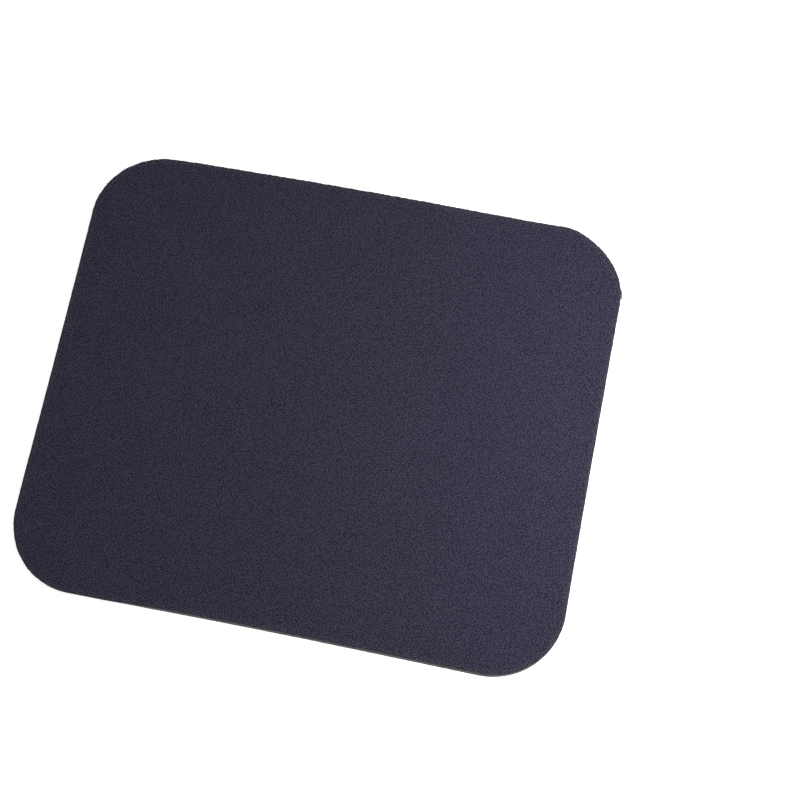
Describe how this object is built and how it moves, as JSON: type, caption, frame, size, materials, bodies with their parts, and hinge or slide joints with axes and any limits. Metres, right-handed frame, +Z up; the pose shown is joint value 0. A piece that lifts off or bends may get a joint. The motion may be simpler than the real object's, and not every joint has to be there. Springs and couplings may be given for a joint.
{
  "type": "mouse pad",
  "caption": "Flat rectangular cloth-topped mouse pad with rounded corners, a foam-rubber base and a zigzag non-slip tread underneath.",
  "frame": {"origin": "middle of the underside, on the surface that the pad lies on", "axes": "+X along the long side, to the right in the picture; +Y along the short side, away from the user; +Z up out of the cloth"},
  "size_m": [0.24, 0.2, 0.003],
  "materials": {
    "cloth": "matt fine polyester knit, dark charcoal navy",
    "film": "dull grey hot-melt film",
    "foam": "matt charcoal foam rubber with fine cells"
  },
  "bodies": {
    "root": {"cloth_top": "cloth", "bond_film": "film", "foam_base": "foam"}
  },
  "joints": []
}
